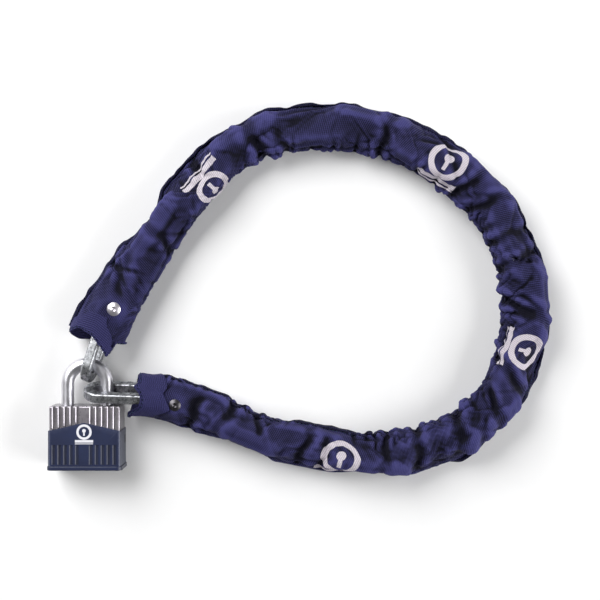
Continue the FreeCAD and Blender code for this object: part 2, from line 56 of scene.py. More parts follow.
# how the sleeve lies along the chain: place in pivots, half-width, shift to the outer side (mm)
LIE = (
    (0.4, 21.0, 2.5), (1.0, 23.5, 1.0), (1.5, 20.5, -2.5), (2.5, 18.5, -4.0), (3.0, 18.0, -3.0),
    (3.5, 17.5, 0.0), (4.3, 18.0, 2.5), (5.0, 18.0, 1.5), (5.6, 18.5, -2.0), (7.0, 19.0, -1.0),
    (8.0, 19.0, -1.5), (10.0, 18.5, -3.0), (10.7, 19.0, -3.5), (11.5, 18.5, 0.5), (12.3, 18.0, 5.0),
    (13.0, 18.0, 4.0), (13.5, 17.5, 1.5), (14.0, 18.5, -3.0), (15.0, 18.0, 1.0), (16.5, 18.5, 3.5),
    (17.5, 19.0, 3.5), (18.1, 17.0, 1.5), (18.5, 15.5, 2.0),
)
LIE_PLACE, HALF_WIDTHS, OFFSETS = (np.array(values) for values in zip(*LIE))
BEFORE_FIRST_PIVOT = 0.022
AFTER_LAST_PIVOT = 0.017
PATH_NEAR = 0.004  # how far ahead and behind the path's heading is taken from
BEND_STEP = 0.002
BEND_WINDOW = 25
ROW_STEP = 0.0028
AROUND = 44
CUFF_ROWS = 12
CUFF_LIFT = 1.6 * MM
CUFF_EDGE = 0.1  # share of the lift left at the foot of the cuff's cut edge
# each end's mouth line, and the length of its turned-back cuff, by angle round the sleeve:
# 0 is the outer edge, 90 the top, 180 the inner edge (degrees, mm)
BOW_MOUTH = ((0, 4), (25, 1), (52, -2.5), (83, 0), (98, 3.7), (115, 8), (131, 12.7), (139, 0.5),
             (160, -1.5), (190, -1), (225, 2), (270, 4), (315, 8), (345, 6))
LEG_MOUTH = ((0, 5.7), (25, 5.7), (45, 4.5), (53, -0.4), (66, -3.9), (84, -4.9), (102, -3.4), (120, 1.7),
             (133, -2), (160, -1), (180, 0), (225, 2), (270, 4), (315, 5.7))
BOW_CUFF = ((0, 9.8), (25, 10), (52, 11), (63, 16), (83, 17.5), (98, 20.7), (104, 16), (127, 14.7),
            (134, 3), (142, 1.6), (180, 1.6), (225, 2), (315, 6), (345, 8))
LEG_CUFF = ((0, 1.6), (25, 2), (36, 20), (53, 22.2), (71, 24.8), (84, 22), (104, 20), (120, 26),
            (133, 22.6), (160, 20), (180, 16), (225, 6), (270, 3), (315, 1.6))
MOUTH_FADE = 0.045  # how far from its end a mouth's line still shifts the rows
CUFF_REACH_ROWS = 45  # fine rows that a cuff may lie over
CUFF_RIPPLE = 0.30
CUFF_HOLLOW = 0.36  # the cuffs' shading: a little raised over the cloth round them

# folds across the sleeve: place and angle where one starts, place and angle where it ends, depth, width (mm)
FOLDS = (
    (1.78, -40, 1.60, 70, 2.8, 5.0),
    (2.62, -30, 2.30, 190, 3.2, 4.6),
    (3.78, -30, 3.60, 80, 2.8, 5.0),
    (4.58, 15, 4.72, 195, 5.2, 6.0),
    (5.02, 80, 5.10, 195, 3.4, 5.5),
    (6.82, 10, 6.76, 195, 4.2, 5.0),
    (7.60, 0, 8.10, 110, 2.6, 5.0),
    (8.42, 50, 8.15, 195, 3.8, 4.6),
    (8.90, 40, 8.55, 195, 4.0, 5.0),
    (9.42, 10, 9.36, 160, 2.6, 4.2),
    (9.72, -30, 9.86, 190, 3.6, 4.6),
    (10.98, 10, 10.36, 195, 5.4, 6.0),
    (10.75, 25, 10.50, 110, 2.8, 4.2),
    (12.02, 25, 11.45, 195, 4.8, 5.5),
    (12.60, 10, 12.18, 130, 4.0, 5.0),
    (13.12, 15, 12.78, 195, 5.6, 6.0),
    (12.92, 0, 12.55, 90, 2.6, 4.2),
    (13.78, 5, 13.55, 195, 4.2, 5.0),
    (14.32, 25, 14.12, 195, 3.0, 5.0),
    (15.22, -10, 15.20, 120, 3.6, 4.5),
    (15.58, 5, 15.46, 140, 3.0, 5.0),
    (16.28, 90, 16.50, 195, 3.6, 4.2),
    (16.92, 40, 16.70, 195, 4.2, 5.0),
    (17.36, -20, 17.30, 120, 3.6, 5.0),
)
FOLD_WANDER = 0.0016
# puckers along the inner side and wrinkles all over, in mm
GATHERS_CLEAR = (0.035, 0.03)  # stretches without them at the two ends, in metres
GATHER_SPACING = (11.0, 23.0)
GATHER_DEPTH = (1.8, 4.4)
GATHER_WIDTH = (2.2, 3.8)
WRINKLES = 110
WRINKLE_DEPTH = (0.8, 2.4)
WRINKLE_WIDTH = (1.6, 3.4)
SURFACE_ROUGHNESS = 0.0012
# share of the folds drawn before the cloth settles and after it
FOLDS_BEFORE = 0.6
FOLDS_AFTER = 0.75
FOLDS_FADE = 0.02  # how far from the mouths the folds come back to their full depth
FOLDS_RELAX = 0.35
CLOTH_OVER_TOP = 2.6 * MM  # how far a ridge may stand over the sleeve's drawn top

# the sewn seam runs along the outer edge, dives under the sleeve and comes up on the inner side
SEAM_AT = (13.0, 13.7, 14.4)
SEAM_ANGLE = (-4, -95, -207)
SEAM_WIDTH = 0.0034
SEAM_THICKNESS = 0.0011
STITCH_PITCH = 0.0031
STITCH_LENGTH = 0.0021
STITCH_RADIUS = 0.00028
# a stitch from end to end: share of its length, share of its thickness
STITCH_PROFILE = ((0.0, 0.35), (0.25, 1.0), (0.75, 1.0), (1.0, 0.35))
STITCH_SIDES = 6
CUFF_STITCH_ROW = 1
# the seam's cross-section: how far it stands out, and sideways, as shares of its width and thickness
SEAM_SECTION = ((-0.12, -0.5), (0.55, -0.5), (1.0, -0.22), (1.0, 0.22), (0.55, 0.5), (-0.12, 0.5))
SEAM_END_ROWS = 3  # rows at each mouth that the seam leaves free
LOWEST_STITCH, LOWEST_CUFF, LOWEST_SEAM = 0.1 * MM, 0.2 * MM, 0.3 * MM  # heights over the table

# white marks printed on the sleeve: place along the chain, angle round it, which way up
PRINTS = ((3.62, 112, 1), (7.85, 96, -1), (11.35, 92, -1), (14.95, 58, 1))
PRINT_FAR = 0.05
PRINT_NOWHERE = 0.2  # a place that no part of a mark reaches

# ---------------------------------------------------------------- cloth simulation
SIM_SCALE = 10.0
SIM_FRAMES = 22
SIM_TABLE = 4.0
SIM_GAP = 0.012
SIM_CLOTH = {"quality": 8, "mass": 0.25, "tension_stiffness": 40, "compression_stiffness": 40,
             "shear_stiffness": 8, "bending_stiffness": 0.25, "tension_damping": 3,
             "compression_damping": 3, "shear_damping": 3, "bending_damping": 0.2, "air_damping": 1}
HULL_GRID = 0.002
# how far from each mouth the drawn shape still shows, and the settled shape's share at the mouth itself
END_HELD = 0.055
END_SETTLED = 0.25
LINK_CLEARANCE = 0.0012
CLOTH_UNDER_RIVET = 0.1 * MM
RIVET_PULL = 0.010  # how far round a rivet's head the cloth is drawn to it
HOLLOW_PASSES = (8, 24, 60)
HOLLOW_RANGE = 0.005
LEVEL = 0.5  # hollowness of cloth that is neither a valley nor a ridge
SIM_SLACK = (1.05, 1.09, 1.13, 1.17, 1.21, 1.17, 1.10)  # slack along the sleeve, at even steps


def place(x):
    """A place along the chain, counted in pivots, as a distance along the path."""
    first, last = pivot_distance[0], pivot_distance[-1]
    pitch = (last - first) / (LINKS - 2)
    inside = np.interp(x, np.arange(1, LINKS), pivot_distance)
    before, beyond = np.minimum(np.asarray(x) - 1, 0), np.maximum(np.asarray(x) - (LINKS - 1), 0)
    return inside + before * pitch + beyond * pitch


# ---------------------------------------------------------------- the chain's path
joints = {j["name"]: j for j in frame["joints"]}
pivots = [Vector(joints[f"link_{k:02d}_swing"]["pos_m"]) for k in range(1, LINKS + 1)]
last_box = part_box(f"link_{LINKS:02d}")
last_centre = (last_box[0] + last_box[1]) / 2
first_way = (pivots[1] - pivots[0]).normalized()
last_way = Vector((last_centre.x - pivots[-1].x, last_centre.y - pivots[-1].y, 0)).normalized()


def smooth_path(points, steps=24):
    """A quadratic B-spline through the middles of the control polygon's legs."""
    middles = [points[0]] + [(a + b) / 2 for a, b in zip(points[1:-2], points[2:-1])] + [points[-1]]
    line = []
    for start, corner, stop in zip(middles, points[1:-1], middles[1:]):
        for t in np.linspace(0, 1, steps, endpoint=False):
            line.append(start * (1 - t) ** 2 + corner * 2 * t * (1 - t) + stop * t * t)
    return np.array([p[:2] for p in line + [middles[-1]]])


path_start = pivots[1] - first_way * BEFORE_FIRST_PIVOT
path_end = pivots[-1] + last_way * AFTER_LAST_PIVOT
line = smooth_path([path_start] + pivots[1:] + [path_end])
steps = np.hypot(*np.diff(line, axis=0).T)
line_distance = np.concatenate([[0], np.cumsum(steps)])
length = line_distance[-1]
pivot_distance = np.array(
    [line_distance[np.argmin(np.hypot(*(line - np.array(p[:2])).T))] for p in pivots[1:]]
)


# ---------------------------------------------------------------- shape of the sleeve before it settles
def around_interp(pairs, theta):
    """Values in metres at any angle, from pairs of degrees and millimetres."""
    angles, values = zip(*pairs)
    return np.interp(theta, np.radians(angles + (360,)), values + values[:1]) * MM


def bump(x):
    return np.exp(-np.square(x))


def window(theta, low, high, soft=0.35):
    """1 between two angles, falling smoothly to 0 outside them."""
    rise = np.clip((theta - low) / soft + 0.5, 0, 1)
    fall = np.clip((high - theta) / soft + 0.5, 0, 1)
    return (rise * rise * (3 - 2 * rise)) * (fall * fall * (3 - 2 * fall))


def fold_heights(distance, theta):
    """Height of every fold over the plain sleeve, in metres, on the grid of distance and angle."""
    turn = np.mod(theta + np.pi / 2, 2 * np.pi) - np.pi / 2
    height = np.zeros(np.broadcast(distance, turn).shape)
    for at_a, angle_a, at_b, angle_b, depth, width in FOLDS:
        low, high = math.radians(angle_a), math.radians(angle_b)
        share = np.clip((turn - low) / (high - low), -0.3, 1.3)
        middle = place(at_a) + (place(at_b) - place(at_a)) * share
        middle = middle + FOLD_WANDER * np.sin(5.0 * turn + 9.0 * at_a)
        x = (distance - middle) / (width * MM)
        valley = -bump(x / 0.55)
        ridge = 0.62 * bump((x + 1.25) / 0.75) + 0.30 * bump((x - 1.5) / 1.1)
        swell = 0.55 + 0.45 * share
        height += depth * MM * (valley + ridge) * window(turn, low, high) * swell
    for at, depth, centre, spread, slant, width in gathers:
        x = (distance - at - slant * (turn - centre)) / width
        puff = 0.5 * bump(x / 1.9) - bump(x / 0.6)
        height += depth * puff * window(turn, centre - spread, centre + spread, 0.6)
    return height


def random_gathers():
    """Small puckers where the cloth bunches up on the inner side, deeper where the path bends more."""
    made = []
    at = GATHERS_CLEAR[0]
    while at < length - GATHERS_CLEAR[1]:
        at += rng.uniform(*GATHER_SPACING) * MM
        tight = 0.45 + 0.55 * np.interp(at, line_distance, bend_share)
        made.append((at, rng.uniform(*GATHER_DEPTH) * MM * tight, np.pi + rng.uniform(-0.5, 0.35),
                     rng.uniform(0.55, 1.15), rng.uniform(-0.0045, 0.0045),
                     rng.uniform(*GATHER_WIDTH) * MM))
    for _ in range(WRINKLES):
        made.append((rng.uniform(0.02, length - 0.02), rng.uniform(*WRINKLE_DEPTH) * MM,
                     rng.uniform(0.2, 3.0), rng.uniform(0.25, 0.7), rng.uniform(-0.016, 0.016),
                     rng.uniform(*WRINKLE_WIDTH) * MM))
    return made


def noise_grid(distance, theta, along, around, seed):
    """Smooth noise over the sleeve, about -1 to 1."""
    out = np.empty(np.broadcast(distance, theta).shape)
    d, t = np.broadcast_to(distance, out.shape), np.broadcast_to(theta, out.shape)
    for index in np.ndindex(out.shape):
        ring = math.cos(t[index]) * around, math.sin(t[index]) * around
        out[index] = noise.noise(Vector((d[index] * along + seed, *ring)))
    return out


# how much the path bends, as a share of its tightest bend, averaged over a window of samples
samples = np.arange(0, length, BEND_STEP)
line_x = np.interp(samples, line_distance, line[:, 0])
line_y = np.interp(samples, line_distance, line[:, 1])
line_turn = np.abs(np.gradient(np.unwrap(np.arctan2(np.gradient(line_y), np.gradient(line_x)))))
line_turn = np.convolve(np.pad(line_turn, BEND_WINDOW // 2, mode="edge"),
                        np.ones(BEND_WINDOW) / BEND_WINDOW, "valid")
bend_share = np.interp(line_distance, samples, line_turn / line_turn.max())

gathers = random_gathers()
rows = int(length / ROW_STEP) + 1
row_distance = np.linspace(0, length, rows)[:, None]
theta = np.linspace(0, 2 * np.pi, AROUND, endpoint=False)[None, :]


def path_frame(distance):
    """Position and sideways direction of the path, also a little way past its ends."""
    inside = np.clip(distance, 0, length)
    x = np.interp(inside, line_distance, line[:, 0])
    y = np.interp(inside, line_distance, line[:, 1])
    ahead, behind = np.clip(inside + PATH_NEAR, 0, length), np.clip(inside - PATH_NEAR, 0, length)
    dx = np.interp(ahead, line_distance, line[:, 0]) - np.interp(behind, line_distance, line[:, 0])
    dy = np.interp(ahead, line_distance, line[:, 1]) - np.interp(behind, line_distance, line[:, 1])
    size = np.hypot(dx, dy)
    dx, dy = dx / size, dy / size
    past = distance - inside
    return x + dx * past, y + dy * past, -dy, dx


def sleeve_grid():
    """The sleeve's starting shape, rows along it and columns round it."""
    start_shift = -around_interp(BOW_MOUTH, theta)
    end_shift = around_interp(LEG_MOUTH, theta)
    distance = (row_distance + start_shift * np.clip(1 - row_distance / MOUTH_FADE, 0, 1)
                + end_shift * np.clip(1 - (length - row_distance) / MOUTH_FADE, 0, 1))
    half_width = np.interp(distance, place(LIE_PLACE), HALF_WIDTHS) * MM
    folds = fold_heights(distance, theta) * FOLDS_BEFORE
    half_width = half_width + folds
    half_height = SLEEVE_HALF_HEIGHT + folds
    rough = noise_grid(distance, theta, 55.0, 1.1, 3.0)
    half_width = half_width + SURFACE_ROUGHNESS * rough
    half_height = half_height + SURFACE_ROUGHNESS * rough
    side = np.cos(theta) * half_width + np.interp(distance, place(LIE_PLACE), OFFSETS) * MM
    x, y, side_x, side_y = path_frame(distance)
    z = np.maximum(SLEEVE_MIDDLE + np.sin(theta) * half_height, FLOOR_GAP)
    return np.stack([x + side_x * side, y + side_y * side, z], axis=-1)


def slack_lengths():
    """Distance along the flat cloth of each row: the outer edge's length with some slack to gather."""
    share = np.linspace(0, 1, rows)
    slack = np.interp(share, np.linspace(0, 1, len(SIM_SLACK)), SIM_SLACK)
    x, y, _, _ = path_frame(row_distance[:, 0])
    heading = np.unwrap(np.arctan2(np.gradient(y), np.gradient(x)))
    outer = np.abs(np.gradient(heading, row_distance[:, 0])) * np.mean(HALF_WIDTHS) * MM
    step = np.diff(row_distance[:, 0]) * (1 + outer[1:]) * slack[1:]
    return np.concatenate([[0], np.cumsum(step)])


# ---------------------------------------------------------------- the cloth settles over the links
def add_object(name, data):
    obj = bpy.data.objects.new(name, data)
    bpy.context.scene.collection.objects.link(obj)
    return obj


def ring_faces(loops, across, base=0):
    """The faces between rings of points that close on themselves."""
    return [(base + i * across + j, base + i * across + (j + 1) % across,
             base + (i + 1) * across + (j + 1) % across, base + (i + 1) * across + j)
            for i in range(loops - 1) for j in range(across)]


def level_square(name, half):
    """A flat square round the origin."""
    mesh = bpy.data.meshes.new(name)
    corners = [(-half, -half, 0), (half, -half, 0), (half, half, 0), (-half, half, 0)]
    mesh.from_pydata(corners, [], [(0, 1, 2, 3)])
    return add_object(name, mesh)


def add_collider(obj):
    """Makes the cloth collide with an object."""
    obj.modifiers.new("Collision", "COLLISION")
    obj.collision.thickness_outer = 0.01
    obj.collision.thickness_inner = 0.05
    obj.collision.cloth_friction = 8


def link_hull(name, scale):
    """A link's closed outer shape."""
    hull_mesh = bmesh.new()
    source = frame["nodes"][name].data.vertices
    corners = {tuple(round(c / HULL_GRID) * HULL_GRID * scale for c in v.co) for v in source}
    for corner in sorted(corners):
        hull_mesh.verts.new(corner)
    hull = bmesh.ops.convex_hull(hull_mesh, input=list(hull_mesh.verts))
    loose = [v for v in hull["geom_interior"] if isinstance(v, bmesh.types.BMVert)]
    bmesh.ops.delete(hull_mesh, geom=loose, context="VERTS")
    return hull_mesh


def link_collider(name):
    """A link's outer shape, for the cloth to lie on."""
    hull_mesh = link_hull(name, SIM_SCALE)
    mesh = bpy.data.meshes.new("collider")
    hull_mesh.to_mesh(mesh)
    hull_mesh.free()
    obj = add_object("collider", mesh)
    add_collider(obj)
    return obj


def settle(grid):
    """Lets the cloth drape over the links and the table, and returns the settled grid."""
    mesh = bpy.data.meshes.new("cloth")
    mesh.from_pydata((grid.reshape(-1, 3) * SIM_SCALE).tolist(), [], ring_faces(rows, AROUND))
    cloth = add_object("cloth", mesh)
    cloth.shape_key_add(name="Basis")
    flat = cloth.shape_key_add(name="flat")
    flat.value = 0
    radius = SLEEVE_AROUND / (2 * np.pi)
    along = np.broadcast_to(slack_lengths()[:, None], (rows, AROUND))
    ring = np.broadcast_to(theta, (rows, AROUND))
    rest = np.stack([along, np.cos(ring) * radius, np.sin(ring) * radius], axis=-1).reshape(-1, 3)
    for point, target in zip(flat.data, rest * SIM_SCALE):
        point.co = target
    held = cloth.vertex_groups.new(name="held")
    held.add(list(range(2 * AROUND)) + list(range((rows - 2) * AROUND, rows * AROUND)), 1.0, "REPLACE")
    helpers = [link_collider(f"link_{k:02d}") for k in range(1, LINKS + 1)]
    table = level_square("sim_table", SIM_TABLE)
    add_collider(table)
    helpers.append(table)
    modifier = cloth.modifiers.new("Cloth", "CLOTH")
    cloth_settings = modifier.settings
    for name, value in SIM_CLOTH.items():
        setattr(cloth_settings, name, value)
    cloth_settings.vertex_group_mass = "held"
    cloth_settings.rest_shape_key = flat
    touching = modifier.collision_settings
    touching.collision_quality = 3
    touching.distance_min = SIM_GAP
    touching.use_self_collision = True
    touching.self_distance_min = SIM_GAP
    touching.self_friction = 5
    scene = bpy.context.scene
    modifier.point_cache.frame_start = 1
    modifier.point_cache.frame_end = SIM_FRAMES
    for number in range(1, SIM_FRAMES + 1):
        scene.frame_set(number)
    settled = cloth.evaluated_get(bpy.context.evaluated_depsgraph_get()).to_mesh()
    points = np.array([v.co for v in settled.vertices]) / SIM_SCALE
    for obj in [cloth] + helpers:
        bpy.data.objects.remove(obj)
    scene.frame_set(1)
    return points.reshape(rows, AROUND, 3)


def finer(grid):
    """Twice as many rows and columns, on smooth curves through the old ones."""
    def between(points):
        return (9 * (points[1:-2] + points[2:-1]) - points[:-3] - points[3:]) / 16

    wrapped = np.concatenate([grid[:, -1:], grid, grid[:, :2]], axis=1)
    mids = between(wrapped.swapaxes(0, 1)).swapaxes(0, 1)
    wide = np.empty((grid.shape[0], grid.shape[1] * 2, 3))
    wide[:, 0::2], wide[:, 1::2] = grid, mids
    padded = np.concatenate([2 * wide[:1] - wide[1:2], wide, 2 * wide[-1:] - wide[-2:-1]])
    tall = np.empty((wide.shape[0] * 2 - 1, wide.shape[1], 3))
    tall[0::2], tall[1::2] = wide, between(padded)
    return tall


def unit(vectors):
    return vectors / np.maximum(np.linalg.norm(vectors, axis=-1, keepdims=True), 1e-9)


def grid_normals(grid):
    """Outward normals of a grid that closes on itself round its columns."""
    along = np.gradient(grid, axis=0)
    around = np.roll(grid, -1, axis=1) - np.roll(grid, 1, axis=1)
    return unit(np.cross(around, along))


def clear_of_links(grid):
    """Pushes the cloth out wherever a fold would cut into a link."""
    flat = grid.reshape(-1, 3)
    for k in range(1, LINKS + 1):
        name = f"link_{k:02d}"
        hull_mesh = link_hull(name, 1.0)
        tree = BVHTree.FromBMesh(hull_mesh)
        hull_mesh.free()
        low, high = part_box(name)
        margin = 2 * LINK_CLEARANCE
        inside = np.all((flat > np.array(low) - margin) & (flat < np.array(high) + margin), axis=1)
        for i in np.nonzero(inside)[0]:
            point = Vector(flat[i])
            nearest, normal, _, away = tree.find_nearest(point)
            depth = away if (point - nearest).dot(normal) > 0 else -away
            if depth < LINK_CLEARANCE:
                flat[i] = nearest + normal * LINK_CLEARANCE
    return flat.reshape(grid.shape)


def relaxed(grid, share):
    """The grid with each point drawn part of the way to the middle of its neighbours."""
    middle = (np.roll(grid, 1, axis=1) + np.roll(grid, -1, axis=1)) / 4
    middle[1:-1] += (grid[:-2] + grid[2:]) / 4
    middle[0] += grid[0] / 2
    middle[-1] += grid[-1] / 2
    return grid * (1 - share) + middle * share


def hollowness(grid, outward):
    """How far each point lies below the cloth round it: a valley is over LEVEL, a ridge under it."""
    total = np.zeros(grid.shape[:2])
    smooth = grid
    for passes in HOLLOW_PASSES:
        for _ in range(passes):
            smooth = relaxed(smooth, 1.0)
        depth = np.sum((smooth - grid) * outward, axis=-1)
        total += depth - np.median(depth)
    return np.clip(LEVEL + total / len(HOLLOW_PASSES) / HOLLOW_RANGE, 0, 1)


def seat_rivets(grid):
    """Draws the cloth's top to the level under each rivet's head."""
    for name in ("bow_end_rivet", "leg_end_rivet"):
        low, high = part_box(name)
        centre = (low + high) / 2
        radius = (high.x - low.x) / 2
        level = CLOTH_TOP - CLOTH_UNDER_RIVET
        away = np.hypot(grid[..., 0] - centre.x, grid[..., 1] - centre.y)
        share = np.clip(1 - (away - radius) / RIVET_PULL, 0, 1)
        share = share * share * (3 - 2 * share) * (grid[..., 2] > SLEEVE_MIDDLE)
        grid[..., 2] += (level - grid[..., 2]) * share
    return grid


shape = sleeve_grid()
from_end = np.clip(np.minimum(row_distance, length - row_distance) / END_HELD, 0, 1)[..., None]
share = END_SETTLED + (1 - END_SETTLED) * from_end * from_end * (3 - 2 * from_end)
shape = shape + (settle(shape) - shape) * share
CLOTH_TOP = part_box("sleeve_section_02")[1].z
shape = finer(shape)
fine_theta = np.linspace(0, 2 * np.pi, shape.shape[1], endpoint=False)[None, :]
fine_distance = np.linspace(0, length, shape.shape[0])[:, None]
crease = fold_heights(fine_distance, fine_theta) * FOLDS_AFTER
crease = crease * np.clip(np.minimum(fine_distance, length - fine_distance) / FOLDS_FADE, 0, 1)
shape = shape + grid_normals(shape) * crease[..., None]
shape = clear_of_links(relaxed(clear_of_links(shape), FOLDS_RELAX))
shape[..., 2] = np.clip(shape[..., 2], FLOOR_GAP, CLOTH_TOP + CLOTH_OVER_TOP)
shape = seat_rivets(shape)
normals = grid_normals(shape)
fine_rows, fine_around = shape.shape[:2]
# how hollow the cloth lies, which drives the painted shade in its valleys and the painted highlight on its ridges
hollow = hollowness(shape, normals)

# distance over the cloth itself, for the weave, the marks and the stitches
row_gap = np.linalg.norm(np.diff(shape, axis=0), axis=-1).mean(axis=1)
cloth_distance = np.concatenate([[0], np.cumsum(row_gap)])
nominal = np.linspace(0, length, fine_rows)
cloth_length = float(cloth_distance[-1])


def seam_angle(distance):
    return np.radians(np.interp(distance, place(np.array(SEAM_AT)), SEAM_ANGLE))


seam = seam_angle(nominal)
seam_column = np.mod(seam / (2 * np.pi), 1) * fine_around


def at_column(grid, row, column):
    """A grid value between two columns."""
    low = int(math.floor(column)) % fine_around
    share = column - math.floor(column)
    return grid[row, low] * (1 - share) + grid[row, (low + 1) % fine_around] * share


# ---------------------------------------------------------------- pieces of the sleeve
SLEEVE_SLOT, SEAM_SLOT, THREAD_SLOT = range(3)  # each piece's materials


class Piece:
    """Gathers the faces, texture places and normals of one stretch of the sleeve."""

    def __init__(self):
        self.points, self.normals, self.faces, self.material = [], [], [], []
        self.uv, self.mark, self.fold = [], [], []

    def add_grid(self, points, point_normals, u, v, mark, fold):
        """Rows and columns that close on themselves; v has one more column than the points."""
        base = len(self.points)
        count, across = points.shape[:2]
        self.points += points.reshape(-1, 3).tolist()
        self.normals += point_normals.reshape(-1, 3).tolist()
        for i in range(count - 1):
            for j in range(across):
                k = (j + 1) % across
                self.faces.append((base + i * across + j, base + i * across + k,
                                   base + (i + 1) * across + k, base + (i + 1) * across + j))
                corners = ((i, j), (i, j + 1), (i + 1, j + 1), (i + 1, j))
                self.uv.append([(u[a, b], v[a, b]) for a, b in corners])
                self.mark.append([tuple(mark[a, b]) for a, b in corners])
                self.fold.append([(fold[a, b % across], 0.0) for a, b in corners])
                self.material.append(SLEEVE_SLOT)

    def add_tube(self, loops, material):
        """A tube through loops of points, closed at both ends."""
        base, across = len(self.points), len(loops[0])
        for loop in loops:
            middle = np.mean(loop, axis=0)
            self.points += [list(p) for p in loop]
            self.normals += unit(np.array(loop) - middle).tolist()
        new = ring_faces(len(loops), across, base)
        new.append(tuple(range(base + across - 1, base - 1, -1)))
        new.append(tuple(range(base + (len(loops) - 1) * across, base + len(loops) * across)))
        self.faces += new
        self.material += [material] * len(new)
        for face in new:
            self.uv.append([(self.points[i][0], self.points[i][1]) for i in face])
            self.mark.append([(PRINT_NOWHERE, PRINT_NOWHERE)] * len(face))
            self.fold.append([(LEVEL, 0.0)] * len(face))

    def build(self, name, materials):
        mesh = bpy.data.meshes.new(name)
        mesh.from_pydata(self.points, [], self.faces)
        for label, values in (("weave", self.uv), ("mark", self.mark), ("fold", self.fold)):
            layer = mesh.uv_layers.new(name=label)
            layer.data.foreach_set("uv", [c for face in values for corner in face for c in corner])
        for material in materials:
            mesh.materials.append(material)
        mesh.polygons.foreach_set("material_index", self.material)
        mesh.polygons.foreach_set("use_smooth", [True] * len(self.faces))
        mesh.normals_split_custom_set_from_vertices(self.normals)
        mesh.update()
        return add_object(name, mesh)


def cloth_across(row_seams, columns):
    """Distance round the cloth from its seam, one more column than the grid so that the last face closes."""
    angle = np.arange(columns + 1)[None, :] * (2 * np.pi / columns)
    first = np.mod(-row_seams, 2 * np.pi)[:, None]
    return (first + angle) * SLEEVE_AROUND / (2 * np.pi)


def mark_places(along, angle):
    """Place of each point in the frame of its nearest printed mark."""
    out = np.full(angle.shape + (2,), PRINT_NOWHERE)
    nearest = np.full(angle.shape, np.inf)
    for at, middle, way in PRINTS:
        u = along - np.interp(place(at), nominal, cloth_distance)
        v = (angle - math.radians(middle)) * SLEEVE_AROUND / (2 * np.pi)
        closer = np.abs(u) < nearest
        nearest = np.where(closer, np.abs(u), nearest)
        out[..., 0] = np.where(closer, way * u, out[..., 0])
        out[..., 1] = np.where(closer, np.where(np.abs(u) < PRINT_FAR, way * v, PRINT_NOWHERE), out[..., 1])
    return out


def cuff(row_order, lengths):
    """The turned-back cuff at one mouth: rows from the mouth's edge back over the sleeve."""
    reach = around_interp(lengths, np.linspace(0, 2 * np.pi, fine_around, endpoint=False))
    walked = np.concatenate([[np.zeros(fine_around)], np.cumsum(
        np.linalg.norm(np.diff(shape[row_order], axis=0), axis=-1), axis=0)])
    out, out_normals, far = [], [], []
    ripple = noise_grid(np.arange(CUFF_ROWS)[:, None] * 0.002,
                        np.linspace(0, 2 * np.pi, fine_around)[None, :], 90, 3.0, 7.0)
    for step in range(CUFF_ROWS):
        share = min(step / (CUFF_ROWS - 2), 1.0)
        goal = reach * share
        lift = CUFF_LIFT * min(1.0, 2.2 * math.sqrt(share)) * (1 + CUFF_RIPPLE * ripple[step])
        if step == CUFF_ROWS - 1:
            lift = lift * CUFF_EDGE
        line_points, line_normals = [], []
        for j in range(fine_around):
            position = np.interp(goal[j], walked[:, j], np.arange(len(row_order)))
            low = min(int(position), len(row_order) - 2)
            part = position - low
            point = shape[row_order[low], j] * (1 - part) + shape[row_order[low + 1], j] * part
            normal = normals[row_order[low], j] * (1 - part) + normals[row_order[low + 1], j] * part
            line_points.append(point + normal * lift[j])
            line_normals.append(normal)
        out.append(line_points)
        out_normals.append(line_normals)
        far.append(goal)
    points = np.array(out)
    points[..., 2] = np.maximum(points[..., 2], LOWEST_CUFF)
    return points, unit(np.array(out_normals)), np.array(far)


def stitches(piece, points, point_normals):
    """Thread stitches along a line of points."""
    points = np.asarray(points)
    walked = np.concatenate([[0], np.cumsum(np.linalg.norm(np.diff(points, axis=0), axis=-1))])

    def along(values, at):
        return np.array([np.interp(at, walked, values[:, k]) for k in range(3)])

    for start in np.arange(STITCH_PITCH / 2, walked[-1] - STITCH_LENGTH, STITCH_PITCH):
        loops = []
        for share, size in STITCH_PROFILE:
            at = start + STITCH_LENGTH * share
            up = unit(along(point_normals, at))
            side = unit(np.cross(unit(along(points, at + MM) - along(points, at - MM)), up))
            centre = along(points, at) + up * (STITCH_RADIUS * (0.9 if size == 1.0 else -0.4))
            radius = STITCH_RADIUS * size
            loop = np.array([centre + radius * (math.cos(a) * side + math.sin(a) * up)
                             for a in np.linspace(0, 2 * np.pi, STITCH_SIDES, endpoint=False)])
            loop[:, 2] = np.maximum(loop[:, 2], LOWEST_STITCH)
            loops.append(loop)
        piece.add_tube(loops, THREAD_SLOT)


def smooth_line(points, passes=3):
    points = np.array(points)
    for _ in range(passes):
        points[1:-1] = (points[:-2] + 2 * points[1:-1] + points[2:]) / 4
    return points


seam_points = smooth_line([at_column(shape, i, seam_column[i]) for i in range(fine_rows)])
seam_normals = unit(smooth_line([at_column(normals, i, seam_column[i]) for i in range(fine_rows)], 6))
seam_ahead = unit(np.gradient(seam_points, axis=0))
seam_side = unit(np.cross(seam_ahead, seam_normals))
seam_inner = np.interp(nominal, place(np.array(SEAM_AT[1:])), (0, 1))
wave = [noise.noise(Vector((d * 70, 0.3, 9.1))) for d in nominal]


def seam_loop(i):
    """Cross-section of the sewn seam allowance that stands out from the sleeve."""
    droop = (0.28 + 0.5 * wave[i] + 0.9 * seam_inner[i]) * SEAM_WIDTH
    root, out, side = seam_points[i], seam_normals[i], seam_side[i]
    loop = []
    for reach, thick in SEAM_SECTION:
        stands = 1 - 0.85 * seam_inner[i]
        sideways = thick * SEAM_THICKNESS + droop * max(reach, 0) ** 2
        point = root + (out * reach * SEAM_WIDTH * stands + side * sideways)
        point[2] = max(point[2], LOWEST_SEAM)
        loop.append(point)
    return loop


